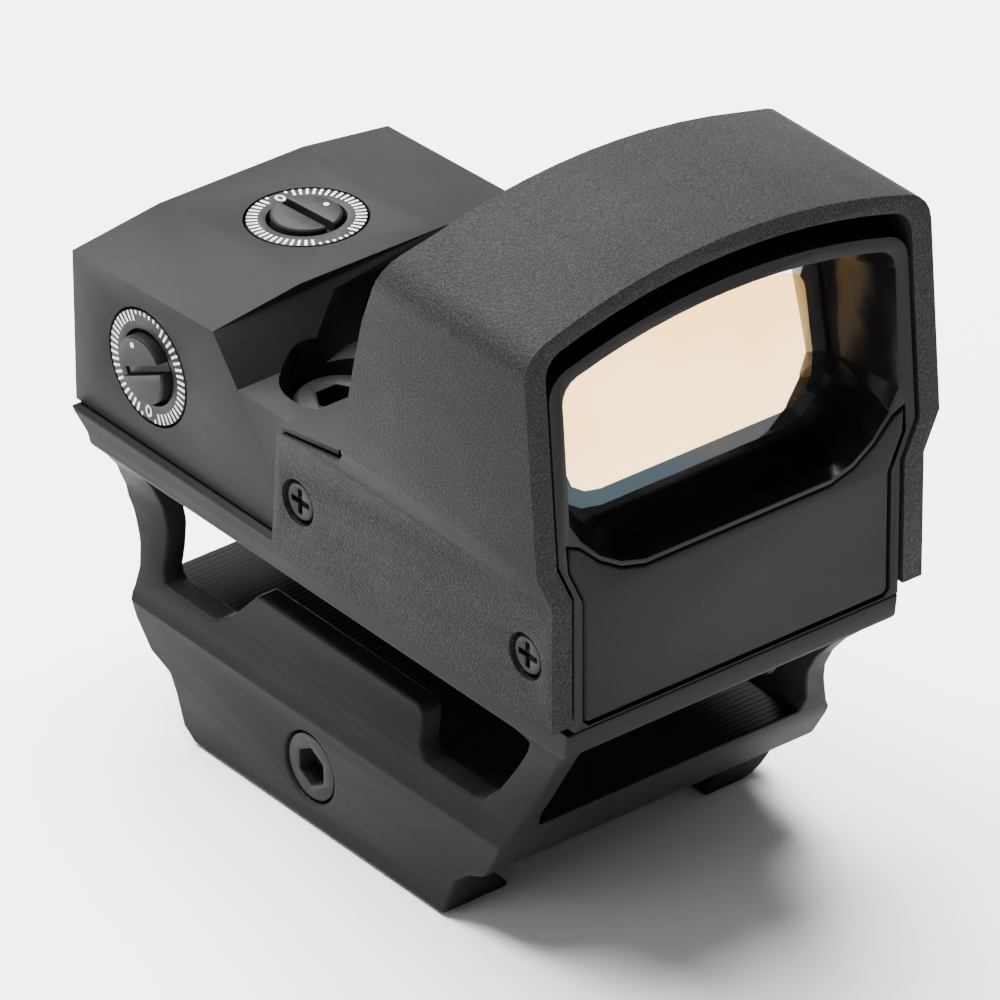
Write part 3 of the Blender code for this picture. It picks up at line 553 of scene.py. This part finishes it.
def build_camera():
    data = bpy.data.cameras.new("camera")
    data.lens = CAMERA_LENS
    data.sensor_width = 36.0
    data.clip_start = 0.01
    camera = bpy.data.objects.new("camera", data)
    back = Vector((
        math.sin(CAMERA_AZIMUTH) * math.cos(CAMERA_ELEVATION),
        -math.cos(CAMERA_AZIMUTH) * math.cos(CAMERA_ELEVATION),
        math.sin(CAMERA_ELEVATION),
    ))
    right = Vector((math.cos(CAMERA_AZIMUTH), math.sin(CAMERA_AZIMUTH), 0.0))
    up = back.cross(right)
    turn = Matrix((right, up, back)).transposed().to_4x4()
    roll = Matrix.Rotation(CAMERA_ROLL, 4, "Z")
    camera.matrix_world = Matrix.Translation(CAMERA_TARGET + back * CAMERA_DISTANCE) @ turn @ roll
    bpy.context.scene.collection.objects.link(camera)
    bpy.context.scene.camera = camera


# ------------------------------------------------------------------- main

build_camera()
build_studio()
build_floor()

anodised = grainy("anodised_black", 0.011, 0.55, 0.12, 0.012, 0.06)
mount_black = grainy("mount_black", 0.0115, 0.55, 0.12, 0.014, 0.06)
plate_black = grainy("plate_black", 0.006, 0.5, 0.2, 0.004, 0.06)
coat = sand_coat("sand_coat", 0.013, 0.62)
satin = satin_metal("dial_satin", 0.011, 0.5, 0.0, 0.12)
boss_satin = satin_metal("boss_satin", 0.012, 0.42, 0.0, 0.08)
steel = satin_metal("black_oxide", 0.007, 0.4, 0.0, 0.07)
rubbed_steel = satin_metal("rubbed_steel", 0.014, 0.45, 0.0, 0.09)
bright = satin_metal("bright_steel", 0.55, 0.25, 1.0)
rubber = rubber_look("black_rubber", 0.012, 0.6)
plastic = rubber_look("black_plastic", 0.015, 0.4)
liner = gloss_black("window_lacquer")
floor_lines = milled("milled_floor", 0.011, 0.55)
white_paint = paint_white("dial_paint")
board = green_board("solder_mask")
red = clear_red("red_dome")
coating = coated_front("lens_coating", (1.0, 0.6, 0.2), (1.0, 0.68, 0.36), 0.95)
# Lit and shaded copies of the lens mirror: a painted highlight for the ring's upper left, painted shade for
# its lower right
highlight_border = coated_front("lens_highlight_border", (0.96, 0.97, 0.97), (0.98, 0.98, 0.98), 0.9)
shaded_edge = coated_front("lens_shaded_edge", (0.045, 0.03, 0.022), (0.02, 0.03, 0.036), 0.9)
pane = clear_pane("lens_pane")

dress("main_housing", anodised, 0.22)
dress("hood_shield", coat, 0.25)
dress("riser_mount", mount_black, 0.22, clamp=False)
dress("clamp_jaw", mount_black, 0.25)
dress("front_cover_plate", plate_black, 0.2)
dress("bottom_cover", anodised, 0.1)
for node in ("elevation_dial_ring", "windage_dial_ring"):
    dress(node, satin, 0.06)
for node in ("elevation_screw", "windage_screw"):
    dress(node, boss_satin, 0.06)
dress("clamp_screw", rubbed_steel, 0.1)
for node in ("mount_screw_left", "mount_screw_right"):
    dress(node, steel, 0.1)
for node in sorted(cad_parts):
    if node.startswith("hood_screw"):
        dress(node, steel, 0.05)
    elif node.startswith("button"):
        dress(node, rubber, 0.12)
    elif node.startswith("tact_switch"):
        dress(node, plastic)
for node in ("elevation_o_ring", "windage_o_ring", "lens_gasket"):
    dress(node, rubber)
for node in ("elevation_spring", "windage_spring", "elevation_clip", "windage_clip", "coin_cell",
             "battery_contact_positive", "battery_contact_negative"):
    dress(node, bright)
for node in ("elevation_slider", "emitter_holder"):
    dress(node, satin, 0.1)
for node in ("circuit_board", "switch_board"):
    dress(node, board)
dress("led_emitter", red)


# The window's mouth and the riser's floor in the CAD, in mm
MOUTH_HALF_WIDTH = 14.35
MOUTH_Y = (-27.0, -18.0)
MOUTH_Z = (31.5, 49.0)
RISER_FLOOR_TOP = 9.5


def in_window(centre, normal):
    """Faces of the housing inside the window's mouth, between its front and the lens."""
    inside = abs(centre.x) < MOUTH_HALF_WIDTH and MOUTH_Z[0] < centre.z < MOUTH_Z[1]
    return inside and MOUTH_Y[0] < centre.y < MOUTH_Y[1] and abs(normal.y) < 0.9


def on_riser_floor(centre, normal):
    return normal.z > 0.9 and centre.z < RISER_FLOOR_TOP


paint_faces("main_housing", liner, in_window)
paint_faces("riser_mount", floor_lines, on_riser_floor)
build_lens(coating, highlight_border, shaded_edge, pane)

top_dial, top_boss, side_dial, side_boss = dial_places()
dial_marks("elevation_marks", top_dial, ELEVATION_ZERO, white_paint)
dial_marks("windage_marks", side_dial, WINDAGE_ZERO, white_paint)
dot_mark("elevation_dot", top_boss, ELEVATION_DOT, white_paint, "elevation_adjuster")
dot_mark("windage_dot", side_boss, WINDAGE_DOT, white_paint, "windage_adjuster")
